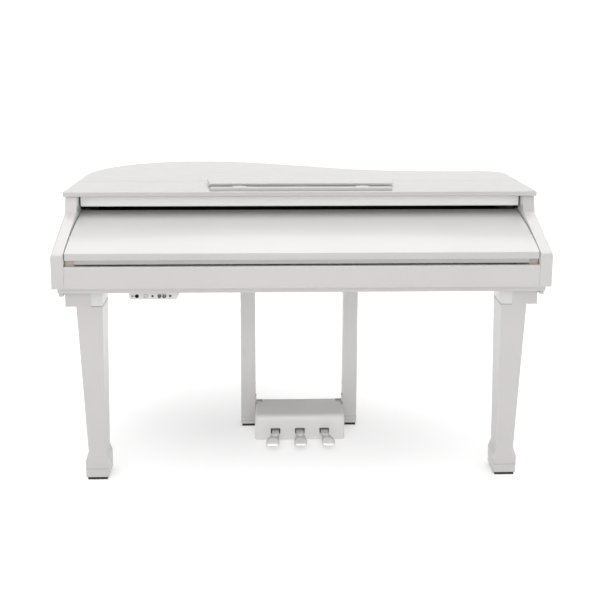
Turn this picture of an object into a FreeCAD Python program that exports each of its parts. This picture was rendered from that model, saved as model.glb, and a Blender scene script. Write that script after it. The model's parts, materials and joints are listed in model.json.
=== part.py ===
import FreeCAD, Part
import math
import operator
import os
import types
import Sketcher

# A digital piano in the shape of a small white grand, on two front legs and a rear pair of
# posts that carry the pedals.  Lengths are in mm.  X points to the player's right, Y runs from
# the front face of the side arms to the back, and Z is up from the floor.  Each sub-part's
# Placement moves it forward by half the depth, so that the origin is under the middle of the
# whole piano.

Vector = FreeCAD.Vector
doc = FreeCAD.newDocument("small_digital_grand")
sheet = doc.addObject("Spreadsheet::Sheet", "Sheet")
nodes = []

# ---------------------------------------------------------------- driving dimensions
DIMENSIONS = {
    # case
    "width": 1430, "depth": 880, "case_bottom": 600, "board_thick": 16, "board_inset": 14,
    "board_front": 10, "arm_thick": 35, "arm_back": 520, "arm_edge": 5, "rim_wall": 20,
    "arm_nose_top": 695, "slope_front_z": 702, "slope_back_y": 192, "slope_back_z": 783,
    "shoulder_y": 208, "slip_thick": 18, "slip_top": 664, "joint_gap": 0.5,
    "rail_front": 236, "rail_thick": 18, "rail_bottom": 793, "rail_half": 676,
    # grand-shaped outline
    "tail_radius": 350, "spine_radius": 600, "spine_angle": 26.6, "spine_run": 250,
    "waist_radius": 770, "corner_radius": 70,
    # lid and music rest
    "lid_top": 845, "lid_thick": 16, "lid_overhang": 6.5, "lid_front": 202, "lid_seam": 400,
    "seam_gap": 1.6, "lid_edge": 3, "lid_barrel": 2.9, "lid_barrel_gap": 0.3,
    "lid_leaf": 2, "lid_leaf_width": 26, "lid_hinge_length": 45, "lid_knuckle": 14.8,
    "prop_x": 185, "prop_y": 535, "prop_drop": 50, "prop_length": 386, "prop_half": 6,
    "prop_pin": 3, "brace_front": 522, "brace_back": 548, "brace_top": 768,
    "brace_height": 46,
    "ledge_half": 278, "ledge_front": 212, "ledge_back": 231, "ledge_top": 856,
    "rest_front": 266, "rest_back": 366, "rest_front_half": 283, "rest_back_half": 298,
    "rest_bottom": 853.5, "rest_thick": 6.5, "rest_axis_y": 260, "rest_axis_z": 850,
    "rest_barrel": 3, "rest_hinge_x": 190, "rest_hinge_width": 40,
    "strut_reach": 44, "strut_length": 60, "strut_half": 18, "strut_thick": 3,
    "strut_axis_z": 855.2, "strut_barrel": 2.4,
    # sliding key cover
    "cover_radius": 1000, "cover_axis_y": 412, "cover_axis_z": -211.5, "cover_thick": 12,
    "cover_half": 677, "cover_front": 5, "cover_back": 262, "lip_bottom": 682,
    "finger_half": 651, "finger_bottom": 668, "finger_front": 10, "finger_back": 26,
    "pin_radius": 3, "pin_reach": 7, "groove_gap": 0.6, "groove_depth": 8,
    "groove_front": 75, "groove_back": 500, "pin_front": 92, "pin_back": 240,
    # keyboard
    "white_pitch": 23.5, "key_gap": 1, "white_front": 22, "white_top": 663, "key_height": 22,
    "black_front": 77, "black_back": 170, "black_width": 10.5, "black_top": 675,
    "key_end": 272, "pivot_y": 262, "pivot_z": 650, "pivot_radius": 3, "pivot_gap": 0.08,
    "cheek_inner": 615, "cheek_step": 652, "cheek_outer": 678, "cheek_low": 664,
    "cheek_top": 681, "cheek_front": 19, "frame_thick": 6, "stop_top": 628,
    "panel_front": 174, "panel_back": 234, "panel_under": 668, "panel_front_top": 687,
    "panel_back_top": 700, "panel_wall": 3, "button_gap": 0.4,
    # legs, posts and pads
    "head_inner": 580, "head_outer": 686, "head_front": 35, "head_back": 122,
    "head_bottom": 538, "shaft_outer": 655, "ankle_inner": 586, "ankle_outer": 637,
    "ankle_front": 46.5, "ankle_back": 109.5, "ankle_top": 87, "flare_bottom": 61,
    "foot_inner": 579.5, "foot_outer": 645, "foot_front": 39.5, "foot_back": 116.5,
    "plinth_top": 35, "plinth_bottom": 9, "pad_inset": 4, "leg_bolt": 4,
    "post_inner": 147, "post_outer": 196, "post_front": 398, "post_depth": 49,
    "shoe_top": 32, "shoe_bottom": 9,
    # pedal box and pedals
    "box_half": 146.5, "box_front": 290, "box_back": 426, "box_top": 84, "box_bottom": 2,
    "box_wall": 4, "box_round": 19, "box_corner": 9, "slot_width": 31, "slot_top": 41,
    "pedal_pitch": 80, "pedal_shank": 11.5, "pedal_tip": 205, "pedal_neck": 252,
    "pedal_flare": 30, "pedal_paddle": 220, "pedal_tail": 408, "pedal_top": 36.5, "pedal_thick": 11,
    "pedal_axis_y": 380, "pedal_axis_z": 30.5, "shaft_radius": 3, "shaft_gap": 0.08,
    # jack box under the key bed
    "jack_left": -504, "jack_right": -363, "jack_front": 40, "jack_back": 100,
    "jack_bottom": 557, "jack_wall": 2.5, "jack_z": 567, "socket_bore": 3.25,
    "socket_ring": 5.5, "socket_depth": 28,
    # speakers
    "speaker_x": 340, "speaker_y": 420, "speaker_hole": 58, "speaker_ring": 70,
    "grille_thick": 2.5,
}


class Size:
    """A number that remembers the sheet expression which gives it."""

    def __init__(self, value, text):
        self.value = value
        self.text = text

    def __add__(self, other):
        return combine(self, "+", other)

    def __radd__(self, other):
        return combine(other, "+", self)

    def __sub__(self, other):
        return combine(self, "-", other)

    def __rsub__(self, other):
        return combine(other, "-", self)

    def __mul__(self, other):
        return combine(self, "*", other)

    def __rmul__(self, other):
        return combine(other, "*", self)

    def __truediv__(self, other):
        return combine(self, "/", other)

    def __neg__(self):
        return combine(0, "-", self)


SIGNS = {"+": operator.add, "-": operator.sub, "*": operator.mul, "/": operator.truediv}


def size(number):
    """Any number as a Size."""
    if isinstance(number, Size):
        return number
    return Size(float(number), "({:.6g})".format(number))


def combine(left, sign, right):
    left = size(left)
    right = size(right)
    value = SIGNS[sign](left.value, right.value)
    return Size(value, "({} {} {})".format(left.text, sign, right.text))


def root(number):
    return Size(math.sqrt(number.value), "sqrt({})".format(number.text))


def sine(degrees):
    return Size(math.sin(math.radians(degrees.value)), "sin({})".format(degrees.text))


def cosine(degrees):
    return Size(math.cos(math.radians(degrees.value)), "cos({})".format(degrees.text))


def fill_sheet():
    """Write the driving dimensions to the sheet and return them as Sizes."""
    sizes = {}
    for row, (name, value) in enumerate(DIMENSIONS.items(), start=1):
        sheet.set("A{}".format(row), name)
        sheet.set("B{}".format(row), str(value))
        sheet.setAlias("B{}".format(row), name)
        sizes[name] = Size(float(value), "Sheet." + name)
    doc.recompute()
    return types.SimpleNamespace(**sizes)


D = fill_sheet()


# ---------------------------------------------------------------- building blocks
def bind(thing, prop, amount):
    thing.setExpression(prop, size(amount).text)


def new_body(label):
    body = doc.addObject("PartDesign::Body", label)
    body.Label = label
    return body


def origin_plane(body, role):
    for feature in body.Origin.OriginFeatures:
        if feature.Role == role + "_Plane":
            return feature
    raise ValueError("no origin plane " + role)


def new_sketch(body, plane, height):
    """A sketch parallel to an origin plane, at a height along +Z, +Y or +X."""
    sketch = body.newObject("Sketcher::SketchObject", "Sketch")
    sketch.AttachmentSupport = (origin_plane(body, plane), [""])
    sketch.MapMode = "FlatFace"
    offset = -size(height) if plane == "XZ" else size(height)
    bind(sketch, "AttachmentOffset.Base.z", offset)
    return sketch


def pin_point(sketch, geometry, position, point):
    """Hold one point of a sketch at sheet-driven coordinates."""
    for kind, amount in (("DistanceX", point[0]), ("DistanceY", point[1])):
        amount = size(amount)
        constraint = Sketcher.Constraint(kind, -1, 1, geometry, position, amount.value)
        index = sketch.addConstraint(constraint)
        bind(sketch, "Constraints[{}]".format(index), amount)


def add_arc(sketch, start, end, radius, turn):
    """An arc from start to end; turn is +1 for a left-hand bend and -1 for a right-hand one."""
    chord = end - start
    middle = (start + end) * 0.5
    rise = math.sqrt(radius * radius - chord.Length * chord.Length / 4)
    side = Vector(-chord.y, chord.x, 0).normalize() * (rise * turn)
    centre = middle + side
    first = math.atan2(start.y - centre.y, start.x - centre.x)
    last = math.atan2(end.y - centre.y, end.x - centre.x)
    if turn < 0:
        first, last = last, first
    if last < first:
        last += 2 * math.pi
    circle = Part.Circle(centre, Vector(0, 0, 1), radius)
    return sketch.addGeometry(Part.ArcOfCircle(circle, first, last), False)


def draw_outline(sketch, points):
    """Draw a closed outline.  A point is (x, y), or (x, y, radius, turn) to reach it by an arc."""
    ends = []
    spots = [Vector(size(p[0]).value, size(p[1]).value, 0) for p in points]
    for index, point in enumerate(points):
        start = spots[index - 1]
        end = spots[index]
        if len(point) == 2:
            geometry = sketch.addGeometry(Part.LineSegment(start, end), False)
            ends.append((geometry, 1, 2))
            continue
        radius = size(point[2])
        geometry = add_arc(sketch, start, end, radius.value, point[3])
        limit = sketch.addConstraint(Sketcher.Constraint("Radius", geometry, radius.value))
        bind(sketch, "Constraints[{}]".format(limit), radius)
        ends.append((geometry, 1, 2) if point[3] > 0 else (geometry, 2, 1))
    for index, (geometry, _, last) in enumerate(ends):
        following = ends[(index + 1) % len(ends)]
        join = Sketcher.Constraint("Coincident", geometry, last, following[0], following[1])
        sketch.addConstraint(join)
    for index, (geometry, _, last) in enumerate(ends):
        pin_point(sketch, geometry, last, points[index])


def draw_circle(sketch, centre, radius):
    spot = Vector(size(centre[0]).value, size(centre[1]).value, 0)
    circle = Part.Circle(spot, Vector(0, 0, 1), size(radius).value)
    geometry = sketch.addGeometry(circle, False)
    limit = sketch.addConstraint(Sketcher.Constraint("Radius", geometry, size(radius).value))
    bind(sketch, "Constraints[{}]".format(limit), radius)
    pin_point(sketch, geometry, 3, centre)


def rectangle(x, y):
    return [(x[1], y[0]), (x[1], y[1]), (x[0], y[1]), (x[0], y[0])]


def pad(body, plane, span, points=None, circle=None):
    """Add material between two heights; span is (low, high) along the plane's axis."""
    low, high = span
    sketch = new_sketch(body, plane, high if plane == "XZ" else low)
    if points:
        draw_outline(sketch, points)
    if circle:
        draw_circle(sketch, circle[0], circle[1])
    feature = body.newObject("PartDesign::Pad", "Pad")
    feature.Profile = sketch
    bind(feature, "Length", size(high) - low)
    sketch.Visibility = False
    return feature


def pocket(body, plane, span, points=None, circle=None):
    """Cut material between two heights, and stop if nothing was cut."""
    low, high = span
    doc.recompute()
    before = body.Shape.Volume
    sketch = new_sketch(body, plane, low if plane == "XZ" else high)
    if points:
        draw_outline(sketch, points)
    if circle:
        draw_circle(sketch, circle[0], circle[1])
    feature = body.newObject("PartDesign::Pocket", "Pocket")
    feature.Profile = sketch
    bind(feature, "Length", size(high) - low)
    doc.recompute()
    if body.Shape.Volume >= before - 1e-3:
        raise RuntimeError("a pocket cut nothing in " + body.Label)
    return feature


def prism(label, plane, span, points):
    body = new_body(label)
    pad(body, plane, span, points)
    return body


def disc(label, plane, span, centre, radius):
    body = new_body(label)
    pad(body, plane, span, circle=(centre, radius))
    return body


def edge_names(shape, test):
    """Names of the edges whose end points and middle all pass the test."""
    names = []
    for index, edge in enumerate(shape.Edges, start=1):
        spots = [edge.valueAt(edge.FirstParameter), edge.valueAt(edge.LastParameter)]
        spots.append(edge.valueAt((edge.FirstParameter + edge.LastParameter) / 2))
        if all(test(spot) for spot in spots):
            names.append("Edge{}".format(index))
    return names


def soften(body, radius, test, kind="PartDesign::Fillet"):
    """Round (or chamfer) the edges of a body that pass the test."""
    doc.recompute()
    feature = body.newObject(kind, kind.split("::")[1])
    base = body.Group[-2]
    names = edge_names(base.Shape, test)
    if not names:
        raise RuntimeError("no edge to soften in " + body.Label)
    feature.Base = (base, names)
    bind(feature, "Radius" if kind.endswith("Fillet") else "Size", radius)
    return feature


def close(first, second):
    return abs(first - size(second).value) < 0.01


def box(x, y, z):
    """A Part box from three (low, high) ranges."""
    block = doc.addObject("Part::Box", "Block")
    for axis, side, span in (("x", "Length", x), ("y", "Width", y), ("z", "Height", z)):
        bind(block, side, size(span[1]) - span[0])
        bind(block, "Placement.Base." + axis, span[0])
    return block


def rod(axis, radius, start, length):
    """A Part cylinder along X, Y or Z from its start point."""
    cylinder = doc.addObject("Part::Cylinder", "Rod")
    bind(cylinder, "Radius", radius)
    bind(cylinder, "Height", length)
    turns = {"x": (Vector(0, 1, 0), 90), "y": (Vector(1, 0, 0), -90), "z": (Vector(0, 0, 1), 0)}
    cylinder.Placement.Rotation = FreeCAD.Rotation(*turns[axis])
    for name, amount in zip("xyz", start):
        bind(cylinder, "Placement.Base." + name, amount)
    return cylinder


def cut(base, tool):
    result = doc.addObject("Part::Cut", "Cut")
    result.Base = base
    result.Tool = tool
    return result


def join(shapes):
    result = doc.addObject("Part::MultiFuse", "Join")
    result.Shapes = shapes
    return result


def node(label, solids):
    """Name a sub-part, and place it so that the origin is under the middle of the piano."""
    if len(solids) == 1:
        piece = solids[0]
        if piece.TypeId in ("Part::Box", "Part::Cylinder"):
            piece = doc.addObject("Part::Compound", label)
            piece.Links = solids
    else:
        piece = doc.addObject("Part::Compound", label)
        piece.Links = solids
    piece.Label = label
    bind(piece, "Placement.Base.y", -D.depth / 2)
    nodes.append(piece)
    return piece


SIDES = (("left", -1), ("right", 1))


def mirrored(side, low, high):
    """The X range of something on one side, given its distances from the middle."""
    return (-size(high), -size(low)) if side < 0 else (low, high)


# ---------------------------------------------------------------- case
def grand_outline(front, inset):
    """The piano's plan, drawn inside the lid's edge by an inset, from a front edge backwards."""
    half = D.width / 2 + D.lid_overhang - inset
    back = D.depth - inset
    tail = D.tail_radius - inset
    spine = D.spine_radius - inset
    waist = D.waist_radius + inset
    corner = D.corner_radius - inset
    tail_x = tail - half
    spine_x = tail_x + spine * sine(D.spine_angle)
    spine_y = back - spine * (1 - cosine(D.spine_angle))
    run_x = spine_x + D.spine_run * cosine(D.spine_angle)
    run_y = spine_y - D.spine_run * sine(D.spine_angle)
    waist_x = run_x + waist * sine(D.spine_angle)
    waist_y = run_y - waist * (1 - cosine(D.spine_angle))
    return [
        (half, front),
        (half, waist_y - corner),
        (half - corner, waist_y, corner, 1),
        (waist_x, waist_y),
        (run_x, run_y, waist, -1),
        (spine_x, spine_y),
        (tail_x, back, spine, 1),
        (-half, back - tail, tail, 1),
        (-half, front),
    ]


def arc_height(radius, y):
    """Height at a distance y from the front of a circle about the cover's turning centre."""
    reach = D.cover_axis_y - y
    return D.cover_axis_z + root(radius * radius - reach * reach)


def arc_band(low, high, front, back):
    """A curved band about the cover's turning centre, in the YZ plane."""
    return [
        (front, arc_height(low, front)),
        (back, arc_height(low, back), low, -1),
        (back, arc_height(high, back)),
        (front, arc_height(high, front), high, 1),
    ]


def side_arm(name, side):
    """A thick side wall with its sloping front end and the groove that guides the key cover."""
    half = D.width / 2
    inner = half - D.arm_thick
    lid_under = D.lid_top - D.lid_thick
    body = new_body(name)
    profile = [
        (0, D.case_bottom), (D.arm_back, D.case_bottom), (D.arm_back, lid_under),
        (D.shoulder_y, lid_under), (D.slope_back_y, D.slope_back_z),
        (8, D.slope_front_z), (0, D.arm_nose_top, 9, 1),
    ]
    pad(body, "YZ", mirrored(side, inner, half), profile)
    soften(body, D.arm_edge, lambda p: close(abs(p.x), half) and p.y < 193 and p.z > 694
           and p.z < 784)
    soften(body, 2.5, lambda p: close(abs(p.x), inner) and p.y < 193 and p.z > 694
           and p.z < 784)
    centre = D.cover_radius - D.cover_thick / 2
    reach = D.pin_radius + D.groove_gap
    groove = arc_band(centre - reach, centre + reach, D.groove_front, D.groove_back)
    pocket(body, "YZ", mirrored(side, inner, inner + D.groove_depth), groove)
    return node(name, [body])


def case_pieces():
    """The bent rim, the bottom board, the key slip, the front rail and the inner brace."""
    lid_under = D.lid_top - D.lid_thick
    edge = D.lid_overhang
    rim = new_body("case_rim")
    pad(rim, "XY", (D.case_bottom, lid_under), grand_outline(D.arm_back, edge))
    inside = grand_outline(D.arm_back - 20, edge + D.rim_wall)
    pocket(rim, "XY", (D.case_bottom, lid_under), inside)
    node("case_rim", [rim])

    under = D.case_bottom - D.board_thick
    board = new_body("bottom_board")
    pad(board, "XY", (under, D.case_bottom), grand_outline(D.board_front, edge + D.board_inset))
    soften(board, 3, lambda p: close(p.z, under) and close(p.y, D.board_front))
    for x in (-D.speaker_x, D.speaker_x):
        pocket(board, "XY", (under, D.case_bottom), circle=((x, D.speaker_y), D.speaker_hole))
    for x, y in bolt_places():
        pocket(board, "XY", (under, D.case_bottom), circle=((x, y), D.leg_bolt + 0.2))
        pocket(board, "XY", (D.case_bottom - 9, D.case_bottom), circle=((x, y), 9))
    node("bottom_board", [board])

    slip_half = D.width / 2 - D.arm_thick - D.joint_gap
    slip = prism("key_slip", "XY", (D.case_bottom, D.slip_top),
                 rectangle((-slip_half, slip_half), (0, D.slip_thick)))
    soften(slip, 3, lambda p: close(p.z, D.slip_top) and close(p.y, 0))
    soften(slip, 1.5, lambda p: close(p.z, D.slip_top) and close(p.y, D.slip_thick))
    node("key_slip", [slip])

    rail = prism("front_rail", "YZ", (-D.rail_half, D.rail_half),
                 rectangle((D.rail_front, D.rail_front + D.rail_thick),
                           (D.rail_bottom, lid_under)))
    soften(rail, 4, lambda p: close(p.z, D.rail_bottom) and close(p.y, D.rail_front))
    for _, side in SIDES:
        tenon = mirrored(side, D.rail_half, D.width / 2 - D.arm_thick)
        pad(rail, "YZ", tenon, rectangle(
            (D.rail_front + 4, D.rail_front + D.rail_thick), (D.rail_bottom + 6, lid_under)))
    node("front_rail", [rail])

    wall = D.width / 2 - D.rim_wall
    brace = prism("case_brace", "XY", (D.brace_top - D.brace_height, D.brace_top),
                  rectangle((1 - wall, wall), (D.brace_front, D.brace_back)))
    node("case_brace", [brace])


def bolt_places():
    """Where the leg and post bolts stand, seen from above."""
    leg_y = (D.head_front + D.head_back) / 2
    post_x = (D.post_inner + D.post_outer) / 2
    places = []
    for sign in (-1, 1):
        places.append((sign * (D.head_inner + 24), leg_y))
        places.append((sign * (D.head_outer - 24), leg_y))
        places.append((sign * post_x, D.post_front + D.post_depth / 2))
    return places


# ---------------------------------------------------------------- lid, prop and music rest
def lid_hinge_spans():
    """The two short straight stretches of the left side that carry a hinge."""
    first = D.lid_seam + 8
    second = D.arm_back - 5 - D.lid_hinge_length
    return ((first, first + D.lid_hinge_length), (second, second + D.lid_hinge_length))


def lid_axis():
    reach = D.lid_barrel + D.lid_barrel_gap
    return (-(D.width / 2 + reach), D.lid_top - D.lid_thick - reach)


def lids():
    half = D.width / 2 + D.lid_overhang
    under = D.lid_top - D.lid_thick
    front = prism("top_front_board", "XY", (under, D.lid_top),
                  rectangle((-half, half), (D.lid_front, D.lid_seam)))
    soften(front, D.lid_edge, lambda p: (close(p.y, D.lid_front) or close(abs(p.x), half))
           and (close(p.z, under) or close(p.z, D.lid_top)))
    node("top_front_board", [front])
    lid = new_body("main_lid")
    seam = D.lid_seam + D.seam_gap
    pad(lid, "XY", (under, D.lid_top), grand_outline(seam, 0))
    soften(lid, D.lid_edge, lambda p: (close(p.z, D.lid_top) or close(p.z, under))
           and p.y > seam.value + 1)
    for span in lid_hinge_spans():
        leaf = rectangle((-half + 1.5, -half + D.lid_leaf_width + 2.5),
                         (span[0] - 0.3, span[1] + 0.3))
        pocket(lid, "XY", (under, under + D.lid_leaf + 0.1), leaf)
    node("main_lid", [lid])


def lid_hinges():
    """Two butt hinges on the left side: leaves on the case, leaves let into the lid, pins."""
    x, z = lid_axis()
    wall = -D.width / 2
    under = D.lid_top - D.lid_thick
    case_side = []
    lid_side = []
    for low, high in lid_hinge_spans():
        hole = rod("y", 1.48, (x, low - 1, z), D.lid_hinge_length + 2)
        knuckles = [box((wall - 1.5, wall), (low, high), (z - 26, z - 4))]
        for start in (low, high - D.lid_knuckle):
            knuckles.append(rod("y", D.lid_barrel, (x, start, z), D.lid_knuckle))
            knuckles.append(box((wall - 1.5, wall), (start, start + D.lid_knuckle), (z - 5, z)))
        case_side.append(cut(join(knuckles), hole))
        middle = low + D.lid_knuckle + D.lid_barrel_gap
        leaf = [rod("y", D.lid_barrel, (x, middle, z), D.lid_knuckle),
                box((x - 1.5, x + 1.5), (middle, middle + D.lid_knuckle), (z + 0.5, under)),
                box((x - 1, x - 1 + D.lid_leaf_width), (low, high), (under, under + D.lid_leaf))]
        lid_side.append(cut(join(leaf), hole))
        case_side.append(rod("y", 1.4, (x, low - 0.5, z), D.lid_hinge_length + 1))
    node("lid_hinge_case_leaves", case_side)
    node("lid_hinge_lid_leaves", lid_side)


def prop_axis():
    return (D.prop_x, D.lid_top - D.lid_thick - D.prop_drop)


def lid_prop():
    """The stick that holds the lid up, lying flat inside the case, and its bracket and pin."""
    x, z = prop_axis()
    half = D.prop_half
    tip = x + D.prop_length
    width = (D.prop_y - 5, D.prop_y + 5)
    stick = new_body("lid_prop")
    pad(stick, "XZ", width, [
        (tip, z - half), (tip + half, z, half, 1), (tip, z + half, half, 1),
        (x, z + half), (x - half, z, half, 1), (x, z - half, half, 1)])
    pocket(stick, "XZ", width, circle=((x, z), D.prop_pin + 0.06))
    node("lid_prop", [stick])

    base = box((x - 16, x + 16), (D.prop_y - 12, D.prop_y + 12), (D.brace_top, D.brace_top + 2))
    cheeks = [base]
    for low in (D.prop_y - 9, D.prop_y + 6):
        cheek = (D.brace_top + 1, z + 8)
        cheeks.append(box((x - 9, x + 9), (low, low + 3), cheek))
    hole = rod("y", D.prop_pin, (x, D.prop_y - 14, z), 28)
    pin = rod("y", D.prop_pin, (x, D.prop_y - 10, z), 20)
    node("lid_prop_bracket", [cut(join(cheeks), hole), pin])


def music_rest():
    """The ledge, the folding rest, its two hinges and the strut that holds it up."""
    ledge = prism("music_ledge", "YZ", (-D.ledge_half, D.ledge_half),
                  rectangle((D.ledge_front, D.ledge_back), (D.lid_top, D.ledge_top)))
    soften(ledge, 2.5, lambda p: close(p.z, D.ledge_top))
    node("music_ledge", [ledge])

    axis_y = D.rest_axis_y + D.strut_reach
    top = D.rest_bottom + D.rest_thick
    board = new_body("music_rest")
    pad(board, "XY", (D.rest_bottom, top), [
        (D.rest_front_half, D.rest_front), (D.rest_back_half, D.rest_back - 12),
        (D.rest_back_half - 12, D.rest_back, 12, 1), (12 - D.rest_back_half, D.rest_back),
        (-D.rest_back_half, D.rest_back - 12, 12, 1), (-D.rest_front_half, D.rest_front)])
    soften(board, 1.5, lambda p: close(p.z, top))
    well = D.strut_half + 0.8
    pocket(board, "XY", (D.rest_bottom, D.strut_axis_z + D.strut_barrel + 0.8),
           rectangle((-well, well), (axis_y - 5, D.rest_back + 1)))
    pocket(board, "YZ", (-D.strut_half - 8, D.strut_half + 8),
           circle=((axis_y, D.strut_axis_z), 1.05))
    node("music_rest", [board])

    strut = disc("music_rest_strut", "YZ", (-D.strut_half, D.strut_half),
                 (axis_y, D.strut_axis_z), D.strut_barrel)
    half = D.strut_thick / 2
    pad(strut, "YZ", (-D.strut_half, D.strut_half),
        rectangle((axis_y, axis_y + D.strut_length),
                  (D.strut_axis_z - half, D.strut_axis_z + half)))
    pocket(strut, "YZ", (-D.strut_half, D.strut_half),
           circle=((axis_y, D.strut_axis_z), 1.06))
    node("music_rest_strut", [strut])
    pin_half = D.strut_half + 7
    music_rest_hinges(rod("x", 1, (-pin_half, axis_y, D.strut_axis_z), 2 * pin_half))


def music_rest_hinges(strut_pin):
    """The rest's two hinges: bases with their pins, and leaves that carry the rest."""
    y = D.rest_axis_y
    z = D.rest_axis_z
    fixed = []
    moving = [strut_pin]
    for middle in (-D.rest_hinge_x, D.rest_hinge_x):
        low = middle - D.rest_hinge_width / 2
        high = middle + D.rest_hinge_width / 2
        leaf = [box((low, high), (y - 20, y + 3), (D.lid_top, D.lid_top + 0.7))]
        for start in (low, high - 12):
            leaf.append(rod("x", D.rest_barrel, (start, y, z), 12))
            leaf.append(box((start, start + 12), (y - 2, y + 2), (D.lid_top, z)))
        fixed.append(cut(join(leaf), rod("x", 1.28, (low - 1, y, z), 42)))
        tab = [rod("x", D.rest_barrel, (low + 12.3, y, z), 15.4),
               box((low + 12.3, high - 12.3), (y, y + 8), (D.rest_bottom - 1.6, D.rest_bottom)),
               box((low, high), (D.rest_front + 1, D.rest_front + 24),
                   (D.rest_bottom - 1.6, D.rest_bottom))]
        moving.append(cut(join(tab), rod("x", 1.28, (low - 1, y, z), 42)))
        fixed.append(rod("x", 1.2, (low, y, z), D.rest_hinge_width))
    node("music_rest_hinge_bases", fixed)
    node("music_rest_hinge_leaves", moving)


# ---------------------------------------------------------------- sliding key cover
def key_cover():
    """A curved panel that slides back along its arc, with its lip, finger rail and pins."""
    inner = D.cover_radius - D.cover_thick
    lip_back = D.cover_front + D.cover_thick
    span = (-D.cover_half, D.cover_half)
    cover = prism("key_cover", "YZ", span, [
        (D.cover_front, D.lip_bottom), (lip_back, D.lip_bottom),
        (lip_back, arc_height(inner, lip_back)),
        (D.cover_back, arc_height(inner, D.cover_back), inner, -1),
        (D.cover_back, arc_height(D.cover_radius, D.cover_back)),
        (D.cover_front, arc_height(D.cover_radius, D.cover_front), D.cover_radius, 1)])
    soften(cover, 3, lambda p: close(p.y, D.cover_front) and p.z > 690)
    centre = D.cover_radius - D.cover_thick / 2
    pins = []
    for _, side in SIDES:
        x = mirrored(side, D.cover_half - 12, D.cover_half)
        for y in (D.pin_front, D.pin_back):
            spot = (y, arc_height(centre, y))
            pocket(cover, "YZ", x, circle=(spot, D.pin_radius))
            start = D.cover_half - 12 if side > 0 else -D.cover_half - D.pin_reach
            pins.append(rod("x", D.pin_radius, (start, spot[0], spot[1]), 12 + D.pin_reach))
    node("key_cover", [cover])
    node("cover_guide_pins", pins)

    finger = prism("cover_finger_rail", "YZ", (-D.finger_half, D.finger_half), rectangle(
        (D.finger_front, D.finger_back), (D.finger_bottom, D.lip_bottom)))
    soften(finger, 2.5, lambda p: close(p.z, D.finger_bottom))
    node("cover_finger_rail", [finger])


# ---------------------------------------------------------------- keyboard
WHITE_COUNT = 52
LETTERS = "abcdefg"
# How far a black key's middle stands from the gap on its left white key's right side.
BLACK_SHIFT = {"a": 3.5, "c": -2.5, "d": 2.5, "f": -3.5, "g": 0.5}
MIDDLE_C = 23


def white_edge(index):
    """X of the left side of a white key's space; index 0 is the lowest key."""
    return (index - WHITE_COUNT / 2) * D.white_pitch


def black_middle(index):
    """X of the black key to the right of a white key, or None where there is none."""
    letter = LETTERS[index % 7]
    if letter not in BLACK_SHIFT or not 0 <= index < WHITE_COUNT - 1:
        return None
    return white_edge(index + 1) + BLACK_SHIFT[letter]


def white_key(index):
    """A white key: a full-width front and a tail that passes between the black keys."""
    low = white_edge(index) + D.key_gap / 2
    high = white_edge(index + 1) - D.key_gap / 2
    left = black_middle(index - 1)
    right = black_middle(index)
    tail_low = low if left is None else left + D.black_width / 2 + D.key_gap
    tail_high = high if right is None else right - D.black_width / 2 - D.key_gap
    height = (D.white_top - D.key_height, D.white_top)
    front = box((low, high), (D.white_front, D.black_front - D.key_gap), height)
    tail = box((tail_low, tail_high), (D.black_front - D.key_gap, D.key_end), height)
    return join([front, tail])


def black_key(index):
    """A black key: a straight lever with a raised cap that narrows towards its top."""
    middle = black_middle(index)
    half = D.black_width / 2
    lever = box((middle - half, middle + half), (D.black_front, D.key_end),
                (D.white_top - D.key_height, D.white_top))
    cap = doc.addObject("Part::Wedge", "Cap")
    cap.Placement.Rotation = FreeCAD.Rotation(Vector(1, 0, 0), 90)
    limits = {
        "Xmin": middle - half, "Xmax": middle + half,
        "X2min": middle - half + 1, "X2max": middle + half - 1,
        "Ymin": D.white_top - 1, "Ymax": D.black_top,
        "Zmin": -D.black_back, "Zmax": -D.black_front,
        "Z2min": -D.black_back, "Z2max": -D.black_front - 5,
    }
    for prop, amount in limits.items():
        bind(cap, prop, amount)
    return join([lever, cap])


def pivot_hole():
    half = D.cheek_inner + 1
    return rod("x", D.pivot_radius + D.pivot_gap, (-half, D.pivot_y, D.pivot_z), 2 * half)


def key_node(name, keys):
    """One key, or a bank of keys, bored for the pivot rod."""
    if len(keys) == 1:
        blank = keys[0]
    else:
        blank = doc.addObject("Part::Compound", "Keys")
        blank.Links = keys
    node(name, [cut(blank, pivot_hole())])


def keyboard():
    """The keys from middle C to E one by one, and the rest as banks of white and black."""
    singles = range(MIDDLE_C, MIDDLE_C + 3)
    banks = {
        "bass": range(0, MIDDLE_C),
        "treble": range(MIDDLE_C + 3, WHITE_COUNT),
    }
    for bank, indices in banks.items():
        key_node("white_keys_" + bank, [white_key(i) for i in indices])
        blacks = [black_key(i) for i in indices if black_middle(i) is not None]
        key_node("black_keys_" + bank, blacks)
    for index in singles:
        letter = LETTERS[index % 7]
        key_node("white_key_" + letter, [white_key(index)])
        if black_middle(index) is not None:
            key_node("black_key_" + letter + "_sharp", [black_key(index)])


def key_bed():
    """The key frame with its stop rail and end posts, the pivot rod and the cheek blocks."""
    inner = D.cheek_inner
    floor = D.case_bottom
    plate_top = floor + D.frame_thick
    post_y = (D.pivot_y - 8, D.pivot_y + 8)
    parts = [box((-inner, inner), (26, D.key_end + 12), (floor, plate_top)),
             box((-inner, inner), (30, 50), (plate_top - 1, D.stop_top))]
    edge = 26 * D.white_pitch
    for _, side in SIDES:
        x = mirrored(side, edge + 0.6, inner)
        parts.append(box(x, post_y, (plate_top - 1, D.pivot_z + 8)))
    frame = join(parts)
    node("key_frame", [cut(frame, rod("x", D.pivot_radius, (-inner, D.pivot_y, D.pivot_z),
                                      2 * inner))])
    node("key_pivot_rod", [rod("x", D.pivot_radius, (-inner, D.pivot_y, D.pivot_z), 2 * inner)])
    node("cheek_blocks", [cheek_block(side) for _, side in SIDES])


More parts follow.
